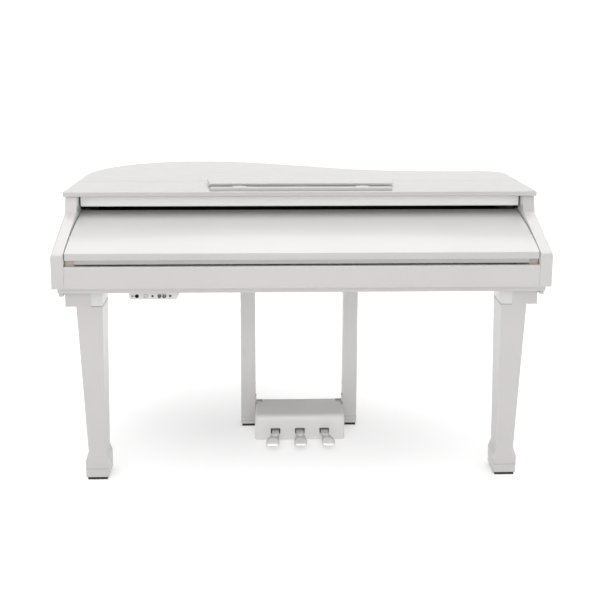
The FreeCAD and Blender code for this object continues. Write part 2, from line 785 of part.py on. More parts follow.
def cheek_block(side):
    """The block beside the keys: a low step next to them and a taller part by the arm."""
    back = D.panel_back + 2
    block = prism("Cheek", "XY", (D.case_bottom, D.cheek_low), rectangle(
        mirrored(side, D.cheek_inner, D.cheek_outer), (D.cheek_front, back)))
    pad(block, "XY", (D.cheek_low, D.cheek_top), rectangle(
        mirrored(side, D.cheek_step, D.cheek_outer), (D.cheek_front, back)))
    soften(block, 1.5, lambda p: close(p.y, D.cheek_front) and (
        close(p.z, D.cheek_top) or close(p.z, D.cheek_low)))
    return block


# ---------------------------------------------------------------- control panel
BUTTON_X = 120
BUTTON_HALF = (11, 4.5)
KNOB_X = -540
POWER_X = -600
CONTROL_Y = 204
DISPLAY_HALF = 48


def panel_height(y):
    """Height of the control panel's sloping top at a distance y from the front."""
    slope = (D.panel_back_top - D.panel_front_top) / (D.panel_back - D.panel_front)
    return D.panel_front_top + (y - D.panel_front) * slope


def control_panel():
    """A hollow strip behind the keys, with openings for its controls."""
    wall = D.panel_wall
    front = D.panel_front
    back = D.panel_back
    half = D.cheek_step - 0.3
    body = prism("control_panel", "YZ", (-half, half), [
        (front, D.panel_under), (back, D.panel_under),
        (back, D.panel_back_top), (front, D.panel_front_top)])
    pocket(body, "YZ", (-half + wall, half - wall), [
        (front + wall, D.panel_under), (back - wall, D.panel_under),
        (back - wall, panel_height(back - wall) - wall),
        (front + wall, panel_height(front + wall) - wall)])
    skin = (D.panel_front_top - 8, D.panel_back_top + 1)
    gap = D.button_gap
    pocket(body, "XY", skin, rectangle(
        (BUTTON_X - BUTTON_HALF[0] - gap, BUTTON_X + BUTTON_HALF[0] + gap),
        (CONTROL_Y - BUTTON_HALF[1] - gap, CONTROL_Y + BUTTON_HALF[1] + gap)))
    pocket(body, "XY", skin, rectangle((-DISPLAY_HALF, DISPLAY_HALF), (187, 221)))
    pocket(body, "XY", skin, circle=((KNOB_X, CONTROL_Y), 3 + gap))
    pocket(body, "XY", skin, circle=((POWER_X, CONTROL_Y), 6 + gap))
    node("control_panel", [body])


def panel_controls():
    """The display, the buttons, the knob, and the circuit board and switches below them."""
    low = -DISPLAY_HALF
    display = prism("panel_display", "YZ", (low, DISPLAY_HALF), [
        (187, panel_height(size(187)) - 4), (221, panel_height(size(221)) - 4),
        (221, panel_height(size(221)) - 0.6), (187, panel_height(size(187)) - 0.6)])
    node("panel_display", [display])
    top = panel_height(size(CONTROL_Y)) + 3.5
    bottom = D.panel_under + 18
    button = prism("voice_button", "XY", (bottom, top), rectangle(
        (BUTTON_X - BUTTON_HALF[0], BUTTON_X + BUTTON_HALF[0]),
        (CONTROL_Y - BUTTON_HALF[1], CONTROL_Y + BUTTON_HALF[1])))
    soften(button, 0.8, lambda p: close(p.z, top))
    node("voice_button", [button])
    power = disc("power_button", "XY", (bottom, top), (POWER_X, CONTROL_Y), 6)
    soften(power, 0.8, lambda p: close(p.z, top))
    node("power_button", [power])
    knob = disc("volume_knob", "XY", (top + 0.5, top + 11), (KNOB_X, CONTROL_Y), 11)
    pad(knob, "XY", (bottom, top + 1), circle=((KNOB_X, CONTROL_Y), 3))
    soften(knob, 1.5, lambda p: close(p.z, top + 11))
    pocket(knob, "XY", (top + 10, top + 11), rectangle(
        (KNOB_X - 0.8, KNOB_X + 0.8), (CONTROL_Y + 3, CONTROL_Y + 9.5)))
    node("volume_knob", [knob])

    board_top = D.panel_under + 5.6
    parts = [box((-D.cheek_step + 20, 200), (180, 228), (D.panel_under + 4, board_top))]
    for x in (BUTTON_X, POWER_X):
        parts.append(box((x - 3, x + 3), (CONTROL_Y - 3, CONTROL_Y + 3),
                         (board_top - 0.5, bottom - 1.7)))
    parts.append(rod("z", 7, (KNOB_X, CONTROL_Y, board_top - 0.5), bottom + 0.2 - board_top))
    node("panel_circuit_board", [join(parts)])


# ---------------------------------------------------------------- electronics and speakers
def speakers():
    """A pair of round speakers in the bottom board, facing down behind their grilles."""
    floor = D.case_bottom
    under = floor - D.board_thick
    frames = []
    cones = []
    grilles = []
    for x in (-D.speaker_x, D.speaker_x):
        spot = (x, D.speaker_y, floor)
        ring = join([rod("z", D.speaker_ring, spot, 4),
                     rod("z", 52, (x, D.speaker_y, floor + 3), 30),
                     rod("z", 36, (x, D.speaker_y, floor + 32), 16)])
        hollow = join([rod("z", D.speaker_hole - 2, (x, D.speaker_y, floor - 1), 5),
                       rod("z", 49, (x, D.speaker_y, floor + 3), 27)])
        frames.append(cut(ring, hollow))
        cone = doc.addObject("Part::Cone", "Cone")
        for prop, amount in (("Radius1", 47), ("Radius2", 14), ("Height", 22)):
            bind(cone, prop, amount)
        for axis, amount in zip("xyz", (x, D.speaker_y, floor + 6)):
            bind(cone, "Placement.Base." + axis, amount)
        cones.append(cone)
        grille = disc("Grille", "XY", (under - D.grille_thick, under),
                      (x, D.speaker_y), D.speaker_ring - 4)
        for step in range(-4, 5):
            reach = math.sqrt(52 ** 2 - (step * 11) ** 2)
            y = D.speaker_y + step * 11
            pocket(grille, "XY", (under - D.grille_thick, under), rectangle(
                (x - reach, x + reach), (y - 2.5, y + 2.5)))
        grilles.append(grille)
    node("speaker_frames", frames)
    node("speaker_cones", cones)
    node("speaker_grilles", grilles)


def electronics():
    """The main circuit board with its tall parts, on four standoffs."""
    floor = D.case_bottom
    standoffs = [rod("z", 4, (x, y, floor), 10) for x in (-200, 20) for y in (580, 700)]
    board = box((-215, 35), (568, 712), (floor + 10, floor + 11.6))
    chips = [box((x, x + wide), (y, y + deep), (floor + 11.5, floor + high))
             for x, y, wide, deep, high in (
                 (-180, 600, 40, 40, 15), (-110, 600, 24, 24, 14), (-60, 590, 60, 16, 36),
                 (-180, 665, 30, 20, 22), (-90, 660, 50, 24, 18))]
    node("main_circuit_board", [join([board] + chips)] + standoffs)


# ---------------------------------------------------------------- legs, posts and pads
def loft(body, low, low_outline, high, high_outline):
    """A straight-sided taper between two outlines at two heights."""
    first = new_sketch(body, "XY", low)
    draw_outline(first, low_outline)
    second = new_sketch(body, "XY", high)
    draw_outline(second, high_outline)
    feature = body.newObject("PartDesign::AdditiveLoft", "Loft")
    feature.Profile = first
    feature.Sections = [second]
    return feature


def front_leg(name, side):
    """A leg with a square head, a tapering shaft and a flared foot."""
    under = D.case_bottom - D.board_thick
    head = rectangle(mirrored(side, D.head_inner, D.head_outer), (D.head_front, D.head_back))
    shaft = rectangle(mirrored(side, D.head_inner, D.shaft_outer), (D.head_front, D.head_back))
    ankle = rectangle(mirrored(side, D.ankle_inner, D.ankle_outer),
                      (D.ankle_front, D.ankle_back))
    foot = rectangle(mirrored(side, D.foot_inner, D.foot_outer), (D.foot_front, D.foot_back))
    leg = new_body(name)
    pad(leg, "XY", (D.plinth_top, D.flare_bottom), foot)
    loft(leg, D.flare_bottom, foot, D.ankle_top, ankle)
    loft(leg, D.ankle_top, ankle, D.head_bottom, shaft)
    pad(leg, "XY", (D.head_bottom, under), head)
    for x, y in bolt_places():
        if x.value * side > 500:
            pocket(leg, "XY", (under - 38, under), circle=((x, y), D.leg_bolt + 0.1))
    node(name, [leg])


def shrink(x, y, inset):
    return ((x[0] + inset, x[1] - inset), (y[0] + inset, y[1] - inset))


def supports():
    """Both front legs, both rear posts, and the shoes, pads and bolts that belong to them."""
    under = D.case_bottom - D.board_thick
    posts = []
    shoes = []
    pads = []
    post_y = (D.post_front, D.post_front + D.post_depth)
    for name, side in SIDES:
        front_leg(name + "_front_leg", side)
        x = mirrored(side, D.post_inner, D.post_outer)
        post = prism("Post", "XY", (D.shoe_top, under), rectangle(x, post_y))
        soften(post, 3, lambda p: close(p.y, D.post_front) and (
            close(abs(p.x), D.post_inner) or close(abs(p.x), D.post_outer)))
        hole = (side * (D.post_inner + D.post_outer) / 2, D.post_front + D.post_depth / 2)
        pocket(post, "XY", (under - 38, under), circle=(hole, D.leg_bolt + 0.1))
        posts.append(post)
        shoes.append(box(x, post_y, (D.shoe_bottom, D.shoe_top)))
        pads.append(box(*shrink(x, post_y, 3), (0, D.shoe_bottom)))
        foot_x = mirrored(side, D.foot_inner, D.foot_outer)
        foot_y = (D.foot_front, D.foot_back)
        shoes.append(box(foot_x, foot_y, (D.plinth_bottom, D.plinth_top)))
        pads.append(box(*shrink(foot_x, foot_y, D.pad_inset), (0, D.plinth_bottom)))
    node("rear_posts", posts)
    node("leg_shoes", shoes)
    node("floor_pads", pads)
    bolts = []
    for x, y in bolt_places():
        hexagon = doc.addObject("Part::Prism", "Head")
        for prop, amount in (("Circumradius", 7.2), ("Height", 5.5)):
            bind(hexagon, prop, amount)
        for axis, amount in zip("xyz", (x, y, D.case_bottom - 9)):
            bind(hexagon, "Placement.Base." + axis, amount)
        shank = rod("z", D.leg_bolt, (x, y, under - 36), D.board_thick - 9 + 37)
        bolts.append(join([shank, hexagon]))
    node("leg_bolts", bolts)


# ---------------------------------------------------------------- pedals
def pedal_box():
    """The hollow pedal housing between the posts, its base plate and its two brackets."""
    half = D.box_half
    wall = D.box_wall
    cover = prism("pedal_box_cover", "YZ", (-half, half), [
        (D.box_front, D.box_bottom), (D.box_back, D.box_bottom), (D.box_back, D.box_top),
        (D.box_front + D.box_round, D.box_top),
        (D.box_front, D.box_top - D.box_round, D.box_round, 1)])
    soften(cover, D.box_corner, lambda p: close(p.y, D.box_front) and close(abs(p.x), half))
    pocket(cover, "YZ", (-half + wall, half - wall), [
        (D.box_front + wall, D.box_bottom), (D.box_back - wall, D.box_bottom),
        (D.box_back - wall, D.box_top - wall), (D.box_front + D.box_round, D.box_top - wall),
        (D.box_front + wall, D.box_top - D.box_round, D.box_round - wall, 1)])
    for step in (-1, 0, 1):
        x = step * D.pedal_pitch
        slot = rectangle((x - D.slot_width / 2, x + D.slot_width / 2),
                         (D.box_bottom, D.slot_top))
        pocket(cover, "XZ", (D.box_front - 1, D.box_front + wall + 1), slot)
    node("pedal_box_cover", [cover])

    inner = half - wall
    floor = D.box_bottom
    base = [box((-inner, inner), (330, D.box_back - wall), (floor, floor + 4))]
    for x in pedal_ear_places():
        base.append(box((x - 2, x + 2), (D.pedal_axis_y - 12, D.pedal_axis_y + 12),
                        (floor + 3, D.pedal_axis_z + 9)))
    hole = rod("x", D.shaft_radius, (-inner, D.pedal_axis_y, D.pedal_axis_z), 2 * inner)
    node("pedal_base", [cut(join(base), hole)])
    node("pedal_pivot_shaft", [rod("x", D.shaft_radius,
                                   (-inner + 1, D.pedal_axis_y, D.pedal_axis_z),
                                   2 * inner - 2)])
    brackets = []
    for _, side in SIDES:
        plate = box(mirrored(side, D.post_inner - 22, D.post_inner), (402, 422),
                    (D.box_top, D.box_top + 2.5))
        upright = box(mirrored(side, D.post_inner - 2.5, D.post_inner), (402, 422),
                      (D.box_top, D.box_top + 22))
        brackets.append(join([plate, upright]))
    node("pedal_box_brackets", brackets)


def pedal_ear_places():
    places = []
    for step in (-1, 0, 1):
        for side in (-1, 1):
            places.append(step * D.pedal_pitch + side * 20)
    return places


def pedal(name, step):
    """A lever seen from above as a narrow shank with a paddle, pivoted near its back."""
    x = step * D.pedal_pitch
    shank = D.pedal_shank
    left = D.pedal_flare if step < 0 else (20 if step == 0 else shank)
    right = D.pedal_flare if step > 0 else (20 if step == 0 else shank)
    tip = D.pedal_tip
    top = D.pedal_top
    low = top - D.pedal_thick
    plan = prism("Plan", "XY", (0, top + 20), [
        (x + shank, D.pedal_tail), (x - shank, D.pedal_tail), (x - shank, D.pedal_neck + 4),
        (x - left, D.pedal_paddle), (x - left, tip + 12),
        (x - left + 12, tip, 12, 1), (x + right - 12, tip), (x + right, tip + 12, 12, 1),
        (x + right, D.pedal_paddle), (x + shank, D.pedal_neck + 4)])
    side = prism("Side", "YZ", (x - 40, x + 40), [
        (D.pedal_tail, low), (D.pedal_tail, top), (D.pedal_neck, top),
        (tip, top - 13, 90, 1), (tip, top - 17), (D.pedal_neck, low)])
    pocket(side, "YZ", (x - 40, x + 40),
           circle=((D.pedal_axis_y, D.pedal_axis_z), D.shaft_radius + D.shaft_gap))
    lever = doc.addObject("Part::Common", "Lever")
    lever.Base = plan
    lever.Tool = side
    node(name + "_pedal", [lever])


def pedal_springs():
    """Three coil springs that hang from the box roof, just above the pedals' tails."""
    y = D.pedal_tail - 9
    roof = D.box_top - D.box_wall
    springs = []
    for step in (-1, 0, 1):
        x = step * D.pedal_pitch
        parts = [rod("z", 5.5, (x, y, roof - 40), 40)]
        for turn in range(8):
            coil = doc.addObject("Part::Torus", "Coil")
            bind(coil, "Radius1", 6)
            bind(coil, "Radius2", 1)
            for axis, amount in zip("xyz", (x, y, roof - 39 + turn * 4.6)):
                bind(coil, "Placement.Base." + axis, amount)
            parts.append(coil)
        springs.append(join(parts))
    node("pedal_springs", springs)


# ---------------------------------------------------------------- jack box
PHONE_JACKS = (-416, -402)
INLET_X = -481
USB_X = -456
LINE_JACK_X = -436
DC_JACK_X = -385


def jack_box():
    """A small housing under the left end of the key bed with sockets on its front face."""
    under = D.case_bottom - D.board_thick
    front = D.jack_front
    wall = D.jack_wall
    corner = 8
    left = D.jack_left
    right = D.jack_right
    low = D.jack_bottom
    shell = prism("jack_box", "XZ", (front, D.jack_back), [
        (right, under), (left, under), (left, low + corner),
        (left + corner, low, corner, 1), (right - corner, low),
        (right, low + corner, corner, 1)])
    pocket(shell, "XY", (low + wall, under), rectangle(
        (left + corner, right - corner), (front + wall, D.jack_back - wall)))
    face = (front - 1, front + wall + 1)
    z = D.jack_z
    for x in PHONE_JACKS:
        pocket(shell, "XZ", face, circle=((x, z), 4.7))
    pocket(shell, "XZ", face, circle=((INLET_X, z), 5.6))
    pocket(shell, "XZ", face, circle=((LINE_JACK_X, z), 3.1))
    pocket(shell, "XZ", face, circle=((DC_JACK_X, z), 3.5))
    pocket(shell, "XZ", face, rectangle((USB_X - 5.1, USB_X + 5.1), (z - 4.6, z + 4.6)))
    node("jack_box", [shell])

    jacks = []
    for x in PHONE_JACKS:
        sleeve = join([rod("y", 4.6, (x, front - 0.5, z), D.socket_depth + 0.5),
                       rod("y", D.socket_ring, (x, front - 2, z), 2)])
        jacks.append(cut(sleeve, rod("y", D.socket_bore, (x, front - 3, z), D.socket_depth)))
    node("headphone_jacks", jacks)
    ports = [cut(rod("y", 5.5, (INLET_X, front - 0.5, z), 20),
                 rod("y", 4.2, (INLET_X, front - 1, z), 12)),
             cut(rod("y", 3, (LINE_JACK_X, front - 0.5, z), 16),
                 rod("y", 1.8, (LINE_JACK_X, front - 1, z), 12)),
             cut(rod("y", 3.4, (DC_JACK_X, front - 0.5, z), 16),
                 rod("y", 2.2, (DC_JACK_X, front - 1, z), 12)),
             cut(box((USB_X - 5, USB_X + 5), (front - 0.3, front + 16), (z - 4.5, z + 4.5)),
                 box((USB_X - 4, USB_X + 4), (front - 1, front + 11), (z - 3.5, z + 3.5)))]
    node("panel_ports", ports)


# ---------------------------------------------------------------- the whole piano
def build():
    for name, side in SIDES:
        side_arm(name + "_side_arm", side)
    case_pieces()
    lids()
    lid_hinges()
    lid_prop()
    music_rest()
    key_cover()
    keyboard()
    key_bed()
    control_panel()
    panel_controls()
    speakers()
    electronics()
    supports()
    pedal_box()
    for name, step in (("left", -1), ("middle", 0), ("right", 1)):
        pedal(name, step)
    pedal_springs()
    jack_box()


def check():
    """Stop if any object failed or any sub-part is empty or not valid."""
    for thing in doc.Objects:
        if "Invalid" in thing.State or "Error" in thing.State:
            raise RuntimeError("{} failed: {}".format(thing.Name, thing.State))
    for piece in nodes:
        if piece.Shape.isNull() or not piece.Shape.isValid():
            raise RuntimeError(piece.Label + " has no valid shape")


def export():
    os.makedirs("parts", exist_ok=True)
    for piece in nodes:
        piece.Shape.exportStep("parts/{}.step".format(piece.Label))
        print(piece.Label, len(piece.Shape.Solids), round(piece.Shape.Volume / 1000, 2))


build()
doc.recompute()
check()
export()
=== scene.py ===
# Looks for the small white grand-shaped digital piano: materials, rounded and extra visible
# pieces, floor, light and camera.  The scene is in metres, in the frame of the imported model.
# The extra pieces are given in mm: X to the player's right, Y back from the front of the CAD
# pieces, and Z up from the floor.
import json
import math

import bmesh
import bpy
from mathutils import Matrix, Vector


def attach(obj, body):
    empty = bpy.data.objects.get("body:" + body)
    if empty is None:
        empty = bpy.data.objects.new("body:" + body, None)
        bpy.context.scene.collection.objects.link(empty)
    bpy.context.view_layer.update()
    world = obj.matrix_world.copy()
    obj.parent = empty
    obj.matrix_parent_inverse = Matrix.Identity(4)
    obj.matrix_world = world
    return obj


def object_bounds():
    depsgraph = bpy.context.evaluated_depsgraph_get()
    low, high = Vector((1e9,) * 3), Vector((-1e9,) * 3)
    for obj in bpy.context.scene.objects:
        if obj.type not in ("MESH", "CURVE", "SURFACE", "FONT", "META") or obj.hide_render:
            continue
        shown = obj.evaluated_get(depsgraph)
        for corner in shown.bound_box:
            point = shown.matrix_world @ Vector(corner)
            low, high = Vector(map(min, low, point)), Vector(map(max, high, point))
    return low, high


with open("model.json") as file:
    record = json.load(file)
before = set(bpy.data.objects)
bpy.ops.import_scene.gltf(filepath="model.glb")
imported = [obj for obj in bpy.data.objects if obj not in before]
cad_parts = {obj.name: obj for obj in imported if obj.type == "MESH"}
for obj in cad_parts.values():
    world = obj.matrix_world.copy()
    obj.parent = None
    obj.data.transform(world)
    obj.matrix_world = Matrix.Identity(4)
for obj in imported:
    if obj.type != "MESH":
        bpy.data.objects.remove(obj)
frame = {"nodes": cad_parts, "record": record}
cad_low, cad_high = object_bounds()

MM = 0.001
CASE = "case"
SLOT_OF = {part["node"]: part["material_slot"] for part in frame["record"]["subparts"]}


# ---------------------------------------------------------------- materials
class Shader:
    """A node material with a Principled shader and helpers for its procedural detail."""

    def __init__(self, name, colour, roughness, metallic=0.0, coat=0.0, coat_roughness=0.05,
                 specular=0.5):
        self.material = bpy.data.materials.new(name)
        self.material.use_nodes = True
        self.tree = self.material.node_tree
        self.shader = self.tree.nodes["Principled BSDF"]
        self.set("Base Color", (*colour, 1.0))
        self.set("Roughness", roughness)
        self.set("Metallic", metallic)
        self.set("Coat Weight", coat)
        self.set("Coat Roughness", coat_roughness)
        self.set("Specular IOR Level", specular)
        self.coordinates = self.tree.nodes.new("ShaderNodeTexCoord").outputs["Object"]
        self.height = None

    def set(self, socket, value):
        self.shader.inputs[socket].default_value = value

    def link(self, output, target):
        self.tree.links.new(output, target)

    def stretched(self, factors):
        """Object coordinates scaled along each axis, to draw grain or brush marks out."""
        mapping = self.tree.nodes.new("ShaderNodeMapping")
        mapping.inputs["Scale"].default_value = factors
        self.link(self.coordinates, mapping.inputs["Vector"])
        return mapping.outputs["Vector"]

    def noise(self, scale, detail=3.0, factors=None, distortion=0.0):
        node = self.tree.nodes.new("ShaderNodeTexNoise")
        node.inputs["Scale"].default_value = scale
        node.inputs["Detail"].default_value = detail
        node.inputs["Distortion"].default_value = distortion
        source = self.stretched(factors) if factors else self.coordinates
        self.link(source, node.inputs["Vector"])
        return node.outputs["Fac"]

    def ramp(self, source, low, high, stops=(0.35, 0.65)):
        """Turn a 0 to 1 pattern into colours between two stops."""
        node = self.tree.nodes.new("ShaderNodeValToRGB")
        for element, stop, colour in zip(node.color_ramp.elements, stops, (low, high)):
            element.position = stop
            element.color = (*colour, 1.0)
        self.link(source, node.inputs["Fac"])
        return node.outputs["Color"]

    def vary_colour(self, pattern, low, high):
        self.link(self.ramp(pattern, low, high), self.shader.inputs["Base Color"])

    def vary_roughness(self, pattern, low, high):
        node = self.tree.nodes.new("ShaderNodeMapRange")
        node.inputs["To Min"].default_value = low
        node.inputs["To Max"].default_value = high
        self.link(pattern, node.inputs["Value"])
        self.link(node.outputs["Result"], self.shader.inputs["Roughness"])

    def bump(self, pattern, strength, depth):
        """Raise the surface by a pattern, depth in metres; several bumps are chained."""
        node = self.tree.nodes.new("ShaderNodeBump")
        node.inputs["Strength"].default_value = strength
        node.inputs["Distance"].default_value = depth
        self.link(pattern, node.inputs["Height"])
        if self.height is not None:
            self.link(self.height, node.inputs["Normal"])
        self.height = node.outputs["Normal"]
        self.link(self.height, self.shader.inputs["Normal"])


def scaled(colour, factor):
    """A colour with each channel multiplied."""
    return tuple(channel * factor for channel in colour)


def lacquer(name, tone, warm=0.0):
    """Polished white polyester: a soft body under a clear coat, with faint orange peel."""
    mottle = 0.012
    high = (tone, tone - warm * 0.8, tone - warm)
    low = tuple(channel - mottle for channel in high)
    look = Shader(name, high, roughness=0.32, coat=0.55, coat_roughness=0.06)
    look.vary_colour(look.noise(scale=3.0, detail=2.0), low, high)
    look.vary_roughness(look.noise(scale=18.0, detail=3.0), low=0.27, high=0.37)
    look.bump(look.noise(scale=260.0, detail=2.0), strength=0.05, depth=0.0002)
    look.bump(look.noise(scale=9.0, detail=1.0), strength=0.03, depth=0.001)
    return look.material


def moulded(name, colour, roughness, grain=0.12):
    """Moulded plastic with a fine spark-eroded grain."""
    look = Shader(name, colour, roughness, specular=0.45)
    look.vary_colour(look.noise(scale=40.0, detail=2.0), scaled(colour, 0.975), colour)
    sheen = look.noise(scale=120.0, detail=2.0)
    look.vary_roughness(sheen, low=roughness * 0.88, high=roughness * 1.12)
    look.bump(look.noise(scale=1800.0, detail=2.0), strength=grain, depth=0.0002)
    return look.material


def metal(name, colour, roughness, factors=(1.0, 1.0, 1.0), brush=0.08, metallic=1.0):
    """Plated or brushed metal; the factors draw the brush marks out along one axis."""
    look = Shader(name, colour, roughness, metallic=metallic)
    marks = look.noise(scale=350.0, detail=3.0, factors=factors)
    look.vary_roughness(marks, low=roughness * 0.75, high=roughness * 1.3)
    look.vary_colour(look.noise(scale=25.0, detail=3.0), scaled(colour, 0.88), colour)
    look.bump(marks, strength=brush, depth=0.0001)
    return look.material


def wood(name, light, dark):
    """Pale straight-grained hardwood, with the grain along X."""
    look = Shader(name, light, roughness=0.5, coat=0.15, coat_roughness=0.3)
    grain = look.noise(scale=60.0, detail=6.0, factors=(0.08, 1.0, 1.0), distortion=0.6)
    pores = look.noise(scale=90.0, detail=3.0, factors=(0.1, 1.0, 1.0))
    look.vary_colour(grain, dark, light)
    look.vary_roughness(pores, low=0.42, high=0.6)
    look.bump(grain, strength=0.15, depth=0.0004)
    return look.material


def rubber(name):
    """Black rubber, a little dusty and pitted."""
    look = Shader(name, (0.025, 0.025, 0.026), roughness=0.8, specular=0.3)
    dust = look.noise(scale=70.0, detail=4.0)
    look.vary_colour(dust, (0.018, 0.018, 0.019), (0.04, 0.04, 0.041))
    look.bump(look.noise(scale=900.0, detail=3.0), strength=0.3, depth=0.0003)
    return look.material


def circuit(name):
    """Solder mask with darker tracks under it."""
    mask = (0.02, 0.17, 0.07)
    look = Shader(name, mask, roughness=0.35, coat=0.3, coat_roughness=0.15)
    tracks = look.tree.nodes.new("ShaderNodeTexBrick")
    tracks.inputs["Scale"].default_value = 160.0
    tracks.inputs["Mortar Size"].default_value = 0.05
    tracks.inputs["Color1"].default_value = (*mask, 1.0)
    tracks.inputs["Color2"].default_value = (0.03, 0.20, 0.09, 1.0)
    tracks.inputs["Mortar"].default_value = (0.01, 0.09, 0.04, 1.0)
    look.link(look.coordinates, tracks.inputs["Vector"])
    look.link(tracks.outputs["Color"], look.shader.inputs["Base Color"])
    look.bump(tracks.outputs["Fac"], strength=0.2, depth=0.0002)
    return look.material


def felt(name, colour):
    """Pressed felt: matt, with a sheen and short fibres."""
    look = Shader(name, colour, roughness=0.95, specular=0.1)
    look.set("Sheen Weight", 0.6)
    fibre = look.noise(scale=900.0, detail=6.0, factors=(1.0, 3.0, 1.0), distortion=1.5)
    look.vary_colour(fibre, scaled(colour, 0.7), colour)
    look.bump(fibre, strength=0.6, depth=0.0006)
    return look.material


BRUSHED_ALONG_Y = (1.0, 0.15, 1.0)

# The material of each slot in the record.
MATERIALS = {
    "white_lacquer": lacquer("white_lacquer", tone=0.46, warm=0.020),
    "bare_wood": wood("bare_wood", light=(0.62, 0.44, 0.26), dark=(0.42, 0.27, 0.14)),
    "nickel": metal("nickel", (0.66, 0.65, 0.63), roughness=0.18),
    "guide_nylon": moulded("guide_nylon", (0.75, 0.74, 0.7), roughness=0.5),
    "key_white": moulded("key_white", (0.62, 0.61, 0.585), roughness=0.28, grain=0.04),
    "key_black": moulded("key_black", (0.018, 0.018, 0.019), roughness=0.42, grain=0.1),
    "cheek_plastic": moulded("cheek_plastic", (0.56, 0.50, 0.44), roughness=0.5),
    "panel_plastic": moulded("panel_plastic", (0.52, 0.52, 0.51), roughness=0.3, grain=0.06),
    "display_window": moulded("display_window", (0.008, 0.010, 0.013), roughness=0.12,
                              grain=0.01),
    "button_grey": moulded("button_grey", (0.16, 0.16, 0.165), roughness=0.5),
    "circuit_board": circuit("circuit_board"),
    "speaker_black": moulded("speaker_black", (0.02, 0.02, 0.02), roughness=0.55, grain=0.25),
    "pad_rubber": rubber("pad_rubber"),
    "bolt_steel": metal("bolt_steel", (0.5, 0.5, 0.51), roughness=0.35, brush=0.15),
    "pedal_metal": metal("pedal_metal", (0.62, 0.61, 0.60), roughness=0.42,
                         factors=BRUSHED_ALONG_Y, brush=0.12, metallic=0.55),
    "jack_housing": moulded("jack_housing", (0.60, 0.60, 0.59), roughness=0.45),
    "port_black": moulded("port_black", (0.012, 0.012, 0.012), roughness=0.4),
}
# Painted light: a copy of the white lacquer for the key cover, toned for how light falls on it
# rather than for a different paint; it has the case's tone with a little less warmth.
COVER_LACQUER = lacquer("cover_lacquer", tone=0.46, warm=0.010)
# Painted shade: a darker copy of the lacquer on the key cover's upright nose, which catches
# less light.
SHADED_COVER_NOSE = lacquer("shaded_cover_nose", tone=0.435, warm=0.012)
# Painted shade: a darker copy of the lacquer on the finger rail, which sits in the shade under
# the cover's nose.
SHADED_FINGER_RAIL = lacquer("finger_rail", tone=0.38, warm=0.012)
# Painted shade: a darker copy of the lacquer on the music ledge, so that its front face reads
# as shaded.
SHADED_LEDGE_LACQUER = lacquer("shaded_ledge_lacquer", tone=0.42, warm=0.012)
# Painted light: a lighter copy of the lacquer on the rear posts and the rear shoes, which stand
# under the case, out of the light from above.
LIT_POST_LACQUER = lacquer("lit_post_lacquer", tone=0.54, warm=0.018)
# Painted light: a much lighter copy of the lacquer on the pedal box, which stands in the shade
# under the case.
LIT_BOX_LACQUER = lacquer("lit_box_lacquer", tone=0.68, warm=0.018)
# Painted light: the lightest copy of the lacquer, on the front rail in the shade of the lid's
# overhang and on the arms' inner faces in the corners.
LIT_RAIL_LACQUER = lacquer("lit_rail_lacquer", tone=0.80)
RED_FELT = felt("red_felt", (0.30, 0.02, 0.03))
# Painted shade: black boards put in the slot behind the front rail and in the gaps beside it,
# where there is only shade.
SHADE_BLACK = moulded("shade_black", (0.01, 0.01, 0.01), roughness=0.5)
# Painted light: a lighter copy of the lacquer on the leg heads' corner blocks, for the brighter
# light on the inner part of the heads.
LIT_CORNER_LACQUER = lacquer("lit_corner_lacquer", tone=0.53)
POLISHED_METAL = metal("polished_metal", (0.93, 0.94, 0.94), roughness=0.36,
                       factors=BRUSHED_ALONG_Y, brush=0.06, metallic=0.60)
SATIN_NICKEL = metal("satin_nickel", (0.44, 0.43, 0.42), roughness=0.34)
SEAM_SHADOW = moulded("seam_shadow", (0.16, 0.155, 0.15), roughness=0.7)

# Pieces given a copy of their slot's material: the lacquer copies are painted light and shade
# for how light falls on each piece, and the hinges get a darker, duller nickel.
SHADES = {
    "front_rail": LIT_RAIL_LACQUER,
    "key_cover": COVER_LACQUER,
    "cover_finger_rail": SHADED_FINGER_RAIL,
    "rear_posts": LIT_POST_LACQUER,
    "music_ledge": SHADED_LEDGE_LACQUER,
    "music_rest_hinge_bases": SATIN_NICKEL,
    "music_rest_hinge_leaves": SATIN_NICKEL,
    "lid_hinge_case_leaves": SATIN_NICKEL,
    "lid_hinge_lid_leaves": SATIN_NICKEL,
    "pedal_box_cover": LIT_BOX_LACQUER,
}


# ---------------------------------------------------------------- the CAD nodes
# Width of the softened edge on each kind of piece, in mm.
EDGE_WIDTH = {
    "white_lacquer": 0.9, "nickel": 0.25, "guide_nylon": 0.2, "key_white": 0.7,
    "key_black": 0.6, "display_window": 0.3, "circuit_board": 0.2, "speaker_black": 0.3,
    "bolt_steel": 0.3, "pedal_metal": 1.2, "port_black": 0.2,
}
OTHER_EDGE_WIDTH = 0.4
EDGE_SEGMENTS = 3
SHARP_ANGLE = math.radians(30)
WELD_DISTANCE = 1e-6


def soften(obj, width):
    """Join the faces of the mesh, round its edges a little and shade curved faces smoothly."""
    for face in obj.data.polygons:
        face.use_smooth = True
    weld = obj.modifiers.new("joined_faces", "WELD")
    weld.merge_threshold = WELD_DISTANCE
    bevel = obj.modifiers.new("soft_edges", "BEVEL")
    bevel.width = width * MM
    bevel.segments = EDGE_SEGMENTS
    bevel.limit_method = "ANGLE"
    bevel.angle_limit = SHARP_ANGLE
    bevel.use_clamp_overlap = True
    flats = obj.modifiers.new("flat_faces", "WEIGHTED_NORMAL")
    flats.mode = "FACE_AREA"
    flats.weight = 100
    flats.keep_sharp = True


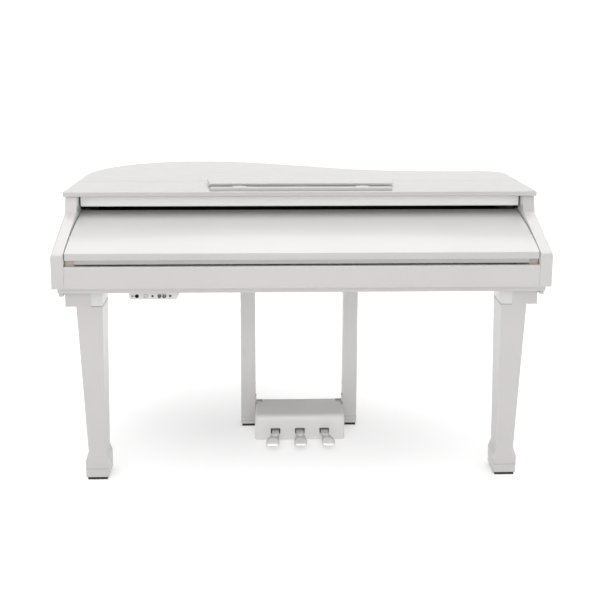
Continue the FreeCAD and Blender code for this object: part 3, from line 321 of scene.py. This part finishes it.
def dress_nodes():
    """Give every CAD node its material, soft edges and smooth curved faces."""
    for name, node in frame["nodes"].items():
        slot = SLOT_OF[name]
        node.data.materials.clear()
        node.data.materials.append(SHADES.get(name, MATERIALS[slot]))
        soften(node, EDGE_WIDTH.get(slot, OTHER_EDGE_WIDTH))


def shade_faces(name, material, chosen):
    """Give a second material to the faces of a node that the test picks."""
    mesh = frame["nodes"][name].data
    mesh.materials.append(material)
    for face in mesh.polygons:
        if chosen(face):
            face.material_index = 1


def paint_light_and_shade_on_nodes():
    """Painted light and shade on parts of nodes: a darker lacquer on the cover's upright nose,
    and lighter lacquer on the rear shoes and the arms' inner faces, which sit in shade.
    """
    squarely = 0.9
    behind_front_legs = cad_low[1] + 0.3
    # Painted shade on the nose; painted light on the rear shoes and the arms' inner faces.
    shade_faces("key_cover", SHADED_COVER_NOSE, lambda face: face.normal.y < -squarely)
    shade_faces("leg_shoes", LIT_POST_LACQUER, lambda face: face.center.y > behind_front_legs)
    shade_faces("left_side_arm", LIT_RAIL_LACQUER, lambda face: face.normal.x > squarely)
    shade_faces("right_side_arm", LIT_RAIL_LACQUER, lambda face: face.normal.x < -squarely)


# ---------------------------------------------------------------- mesh helpers
def place(x, y, z):
    """A point given in mm from the piano's front, in the metres of the scene."""
    return (x * MM, y * MM + cad_low[1], z * MM)


def new_piece(name, builder, material, body, smooth=True):
    """Turn a built mesh into a piece that rides on a body."""
    mesh = bpy.data.meshes.new(name)
    builder.to_mesh(mesh)
    builder.free()
    obj = bpy.data.objects.new(name, mesh)
    bpy.context.scene.collection.objects.link(obj)
    mesh.materials.append(material)
    for face in mesh.polygons:
        face.use_smooth = smooth
    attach(obj, body)


def rounded_box(name, low, high, radius, material, body):
    """A block with all its edges rounded, given by two corners."""
    low = place(*low)
    high = place(*high)
    builder = bmesh.new()
    bmesh.ops.create_cube(builder, size=1.0)
    for vertex in builder.verts:
        for axis in range(3):
            middle = (low[axis] + high[axis]) / 2
            vertex.co[axis] = middle + vertex.co[axis] * (high[axis] - low[axis])
    bmesh.ops.bevel(builder, geom=list(builder.edges), offset=radius * MM, segments=4,
                    profile=0.5, affect="EDGES")
    new_piece(name, builder, material, body)


def board(name, low, high, radius, material):
    """A rounded block fixed to the case."""
    rounded_box(name, low, high, radius, material, CASE)


def both_sides(name, low, high, radius, material):
    """A board on the right side, and its mirror image on the left."""
    mirror_low = (-high[0], low[1], low[2])
    mirror_high = (-low[0], high[1], high[2])
    board("left_" + name, mirror_low, mirror_high, radius, material)
    board("right_" + name, low, high, radius, material)


def turns(count):
    """The angles of evenly spaced points round a circle."""
    return [2.0 * math.pi * step / count for step in range(count)]


def squared(value, power=0.45):
    """Push a sine or a cosine outwards, which makes a circle a rounded square."""
    return math.copysign(abs(value) ** power, value)


def skin(builder, first, second):
    """A band of four-sided faces between two rings of as many points."""
    count = len(first)
    for step in range(count):
        after = (step + 1) % count
        builder.faces.new((first[step], first[after], second[after], second[step]))


def lofted(name, stations, material, body):
    """A bar with rounded section along Y; each station is (y, left, right, low, high)."""
    builder = bmesh.new()
    rings = []
    for y, left, right, low, high in stations:
        ring = []
        for angle in turns(28):
            x = (left + right) / 2 + squared(math.cos(angle)) * (right - left) / 2
            z = (low + high) / 2 + squared(math.sin(angle)) * (high - low) / 2
            ring.append(builder.verts.new(place(x, y, z)))
        rings.append(ring)
    for first, second in zip(rings, rings[1:]):
        skin(builder, first, second)
    builder.faces.new(reversed(rings[0]))
    builder.faces.new(rings[-1])
    bmesh.ops.recalc_face_normals(builder, faces=list(builder.faces))
    new_piece(name, builder, material, body)


def washer(name, centre, inner, outer, thick, material):
    """A flat ring on the case, with its axis along Y, that stands forward of its centre."""
    builder = bmesh.new()
    rings = []
    for forward, radius in ((0.0, inner), (thick, inner), (thick, outer), (0.0, outer)):
        ring = []
        for angle in turns(40):
            x = centre[0] + radius * math.cos(angle)
            z = centre[2] + radius * math.sin(angle)
            ring.append(builder.verts.new(place(x, centre[1] - forward, z)))
        rings.append(ring)
    for first, second in zip(rings, rings[1:] + rings[:1]):
        skin(builder, first, second)
    bmesh.ops.recalc_face_normals(builder, faces=list(builder.faces))
    new_piece(name, builder, material, CASE, smooth=False)


# ---------------------------------------------------------------- extra visible pieces
ARM_INNER = 680.0
RAIL_HALF = 676.0
CLEARANCE = 0.2
# Thickness and top of the black boards that paint shade in the arms' pockets.
SHADE_BOARD_THICK = 2.2
SHADE_BOARD_TOP = 828.0
FELT_HALF = 614.0
HEAD_INNER = 580.0
BLOCK_OUTER = 612.0
SEAM_RADIUS = 0.2
SEAM_PROUD = 0.15
JACK_Z = 567.0


def arm_shade_board(name, inner, along, low, high):
    """A black board against the inner face of each arm, painted shade in the dark gap there."""
    both_sides(name, (inner, along[0], low), (ARM_INNER - CLEARANCE, along[1], high), 0.3,
               SHADE_BLACK)


def case_details():
    """Black boards that paint shade behind the keys, in the arms' pockets and at the rail's
    ends, and the cleats under the key bed.
    """
    shade_board_inner = ARM_INNER - CLEARANCE - SHADE_BOARD_THICK
    board("shade_board_behind_keys", (-RAIL_HALF, 505, 606), (RAIL_HALF, 508, 812), 0.5,
          SHADE_BLACK)
    arm_shade_board("pocket_shade_front", shade_board_inner, (255, 300), 781, SHADE_BOARD_TOP)
    arm_shade_board("pocket_shade_back", shade_board_inner, (300.5, 504), 787.5, SHADE_BOARD_TOP)
    arm_shade_board("rail_end_gap_shade", RAIL_HALF + CLEARANCE, (237, 253.5), 793.5, SHADE_BOARD_TOP + 0.4)
    both_sides("bed_cleat", (688, 20, 572), (700, 60, 584.4), 1.5,
               MATERIALS["white_lacquer"])


def cover_details():
    """A dark line at the joint between the key cover's nose and its finger rail: the joint, and
    painted shade under the nose.
    """
    rounded_box("finger_rail_joint_and_shade", (-650.5, 9.6, 680.9), (650.5, 10.3, 681.9),
                SEAM_RADIUS, SEAM_SHADOW, "key_cover")


def post_seam(name, across, along, height, thick):
    """A fine dark joint round a foot or a post, a little proud of its faces."""
    both_sides(name, (across[0] - SEAM_PROUD, along[0] - SEAM_PROUD, height),
               (across[1] + SEAM_PROUD, along[1] + SEAM_PROUD, height + thick),
               SEAM_RADIUS, SEAM_SHADOW)


def leg_details():
    """The corner blocks at the leg heads, in a lighter lacquer that paints light on them, and
    the fine joints at heads, feet and shoes.
    """
    both_sides("leg_corner_block", (HEAD_INNER - 0.3, 34.7, 538.4), (BLOCK_OUTER, 122.3, 583.8),
               0.8, LIT_CORNER_LACQUER)
    both_sides("leg_head_joint", (HEAD_INNER - 0.8, 34.3, 537.3), (BLOCK_OUTER, 122.6, 538.8),
               SEAM_RADIUS, SEAM_SHADOW)
    post_seam("foot_joint", (579.5, 645.0), (39.5, 116.5), 34.5, 0.9)
    for height in (20.0, 32.0):
        post_seam("shoe_joint_{:.0f}".format(height), (147.0, 196.0), (398.0, 447.0),
                  height, 0.7)


def key_felts():
    """The red felt strip between the white keys and the key slip, and the one behind them."""
    board("front_key_felt", (-FELT_HALF, 18.6, 640), (FELT_HALF, 21.2, 659), 1.0,
          RED_FELT)
    board("back_key_felt", (-FELT_HALF, 171, 664), (FELT_HALF, 173.6, 676), 1.0,
          RED_FELT)


def socket_details():
    """Black nuts on the headphone sockets, a metal shell and tongue in the square port, and
    a blank label."""
    for name, x in (("left", -416), ("right", -402)):
        washer(name + "_headphone_nut", (x, 38.0, JACK_Z), inner=3.6, outer=5.3, thick=0.8,
               material=MATERIALS["port_black"])
    board("square_port_shell", (-459.6, 39.3, JACK_Z - 3.6), (-452.4, 40.4, JACK_Z + 3.6), 0.3,
          MATERIALS["nickel"])
    board("square_port_tongue", (-458, 38.9, JACK_Z - 0.8), (-454, 39.6, JACK_Z + 0.8), 0.2,
          MATERIALS["port_black"])
    board("socket_label_plate", (-497, 39.6, JACK_Z - 2.5), (-490.5, 40.2, JACK_Z + 2.5), 0.2,
          MATERIALS["button_grey"])


PEDAL_PITCH = 80.0
PLATE_SHANK_HALF = 11.9
PLATE_PROUD = 0.4
PLATE_TOP = 37.1
PLATE_UNDER = 25.0
PLATE_LOWEST = 19.2
PLATE_THINNEST = 2.5

# How far the paddle of each pedal reaches to the left and to the right of its shank's middle.
PADDLE_REACH = {"left": (30.0, 11.5), "middle": (20.0, 20.0), "right": (11.5, 30.0)}

# The plate from the box to its nose: the place along Y, how much of the paddle's flare is
# reached, the share of that width which is left, and how far the top has fallen.
PLATE_PROFILE = (
    (257, 0.00, 0.97, 0.5), (255.5, 0.02, 1.0, 0.0), (246, 0.28, 1.0, 0.7),
    (238, 0.52, 1.0, 1.6), (229, 0.80, 1.0, 3.3), (221, 1.0, 1.0, 5.3),
    (216, 1.0, 0.985, 7.0), (211.5, 1.0, 0.92, 8.8), (208, 1.0, 0.82, 10.4),
    (205.8, 1.0, 0.70, 11.8), (204.7, 1.0, 0.56, 13.2),
)


def pedal_plate(name, middle, reach):
    """A smooth polished plate round the paddle, with a softly domed nose."""
    stations = []
    for y, flare, share, fall in PLATE_PROFILE:
        left, right = (PLATE_SHANK_HALF + (side + PLATE_PROUD - PLATE_SHANK_HALF) * flare
                       for side in reach)
        centre = middle + (right - left) / 2
        half = (left + right) / 2 * share
        high = PLATE_TOP - fall
        low = min(max(PLATE_UNDER - fall * 0.45, PLATE_LOWEST), high - PLATE_THINNEST)
        stations.append((y, centre - half, centre + half, low, high))
    lofted(name + "_pedal_plate", stations, POLISHED_METAL, name + "_pedal")


def pedals():
    """A plate for each of the three pedals."""
    for step, (name, reach) in enumerate(PADDLE_REACH.items(), start=-1):
        pedal_plate(name, step * PEDAL_PITCH, reach)


# ---------------------------------------------------------------- stage, light and camera
# Brightness of the studio at rising sines of elevation: a white horizon, a dimmer middle and
# a wide bright panel overhead.
STUDIO_PEAK = 2.9
STUDIO_STEPS = (
    (-1.0, 1.1), (0.20, 1.1), (0.30, 0.30), (0.74, 0.30), (0.80, STUDIO_PEAK),
)
FLOOR_GREY = 0.62
FLOOR_GLOW = 0.42

# The camera stands a little left of the middle and looks slightly down; angles in degrees.
CAMERA_PLACE = (-0.0898, -2.8557, 1.30)
CAMERA_TURN = -1.851
CAMERA_TIP = 9.102
CAMERA_ROLL = 0.191
CAMERA_LENS = 52.46
CAMERA_SHIFT = -0.2


def floor():
    """A plain pale floor, with a little light of its own so that it stays white."""
    mesh = bpy.data.meshes.new("floor")
    builder = bmesh.new()
    bmesh.ops.create_grid(builder, x_segments=1, y_segments=1, size=30.0)
    builder.to_mesh(mesh)
    builder.free()
    obj = bpy.data.objects.new("floor", mesh)
    bpy.context.scene.collection.objects.link(obj)
    look = Shader("floor_white", (FLOOR_GREY, FLOOR_GREY, FLOOR_GREY), roughness=0.7,
                  specular=0.15)
    look.set("Emission Color", (1.0, 1.0, 1.0, 1.0))
    look.set("Emission Strength", FLOOR_GLOW)
    look.bump(look.noise(scale=4.0, detail=2.0), strength=0.02, depth=0.001)
    mesh.materials.append(look.material)


def studio():
    """Soft light from all round, stronger from above."""
    world = bpy.data.worlds.new("studio")
    bpy.context.scene.world = world
    world.use_nodes = True
    tree = world.node_tree
    background = tree.nodes["Background"]
    background.inputs["Strength"].default_value = STUDIO_PEAK
    direction = tree.nodes.new("ShaderNodeTexCoord")
    split = tree.nodes.new("ShaderNodeSeparateXYZ")
    rescale = tree.nodes.new("ShaderNodeMapRange")
    rescale.inputs["From Min"].default_value = -1.0
    ramp = tree.nodes.new("ShaderNodeValToRGB")
    stops = ramp.color_ramp.elements
    for index, (height, brightness) in enumerate(STUDIO_STEPS):
        position = (height + 1.0) / 2.0
        if index < len(stops):
            stop = stops[index]
            stop.position = position
        else:
            stop = stops.new(position)
        grey = brightness / STUDIO_PEAK
        stop.color = (grey, grey, grey, 1.0)
    tree.links.new(direction.outputs["Generated"], split.inputs["Vector"])
    tree.links.new(split.outputs["Z"], rescale.inputs["Value"])
    tree.links.new(rescale.outputs["Result"], ramp.inputs["Fac"])
    tree.links.new(ramp.outputs["Color"], background.inputs["Color"])


def softbox(name, location, target, width, height, power):
    """A rectangular light that faces the target."""
    data = bpy.data.lights.new(name, "AREA")
    data.shape = "RECTANGLE"
    data.size = width
    data.size_y = height
    data.energy = power
    obj = bpy.data.objects.new(name, data)
    bpy.context.scene.collection.objects.link(obj)
    obj.location = location
    aim = Vector(target) - Vector(location)
    obj.rotation_euler = aim.to_track_quat("-Z", "Y").to_euler()


def camera():
    """The scene's camera, turned about Z, then tipped down, then rolled."""
    data = bpy.data.cameras.new("camera")
    data.sensor_width = 36.0
    data.lens = CAMERA_LENS
    data.shift_y = CAMERA_SHIFT
    obj = bpy.data.objects.new("camera", data)
    bpy.context.scene.collection.objects.link(obj)
    obj.location = CAMERA_PLACE
    turn = Matrix.Rotation(math.radians(CAMERA_TURN), 3, "Z")
    tip = Matrix.Rotation(math.radians(90.0 - CAMERA_TIP), 3, "X")
    roll = Matrix.Rotation(math.radians(CAMERA_ROLL), 3, "Z")
    obj.rotation_euler = (turn @ tip @ roll).to_euler()
    bpy.context.scene.camera = obj


dress_nodes()
paint_light_and_shade_on_nodes()
case_details()
cover_details()
leg_details()
key_felts()
socket_details()
pedals()
floor()
studio()
softbox("front_softbox", (-0.3, -4.2, 3.0), (0.0, 0.0, 0.7), width=4.0, height=1.8,
        power=60.0)
camera()
bpy.context.scene.view_settings.view_transform = "Standard"
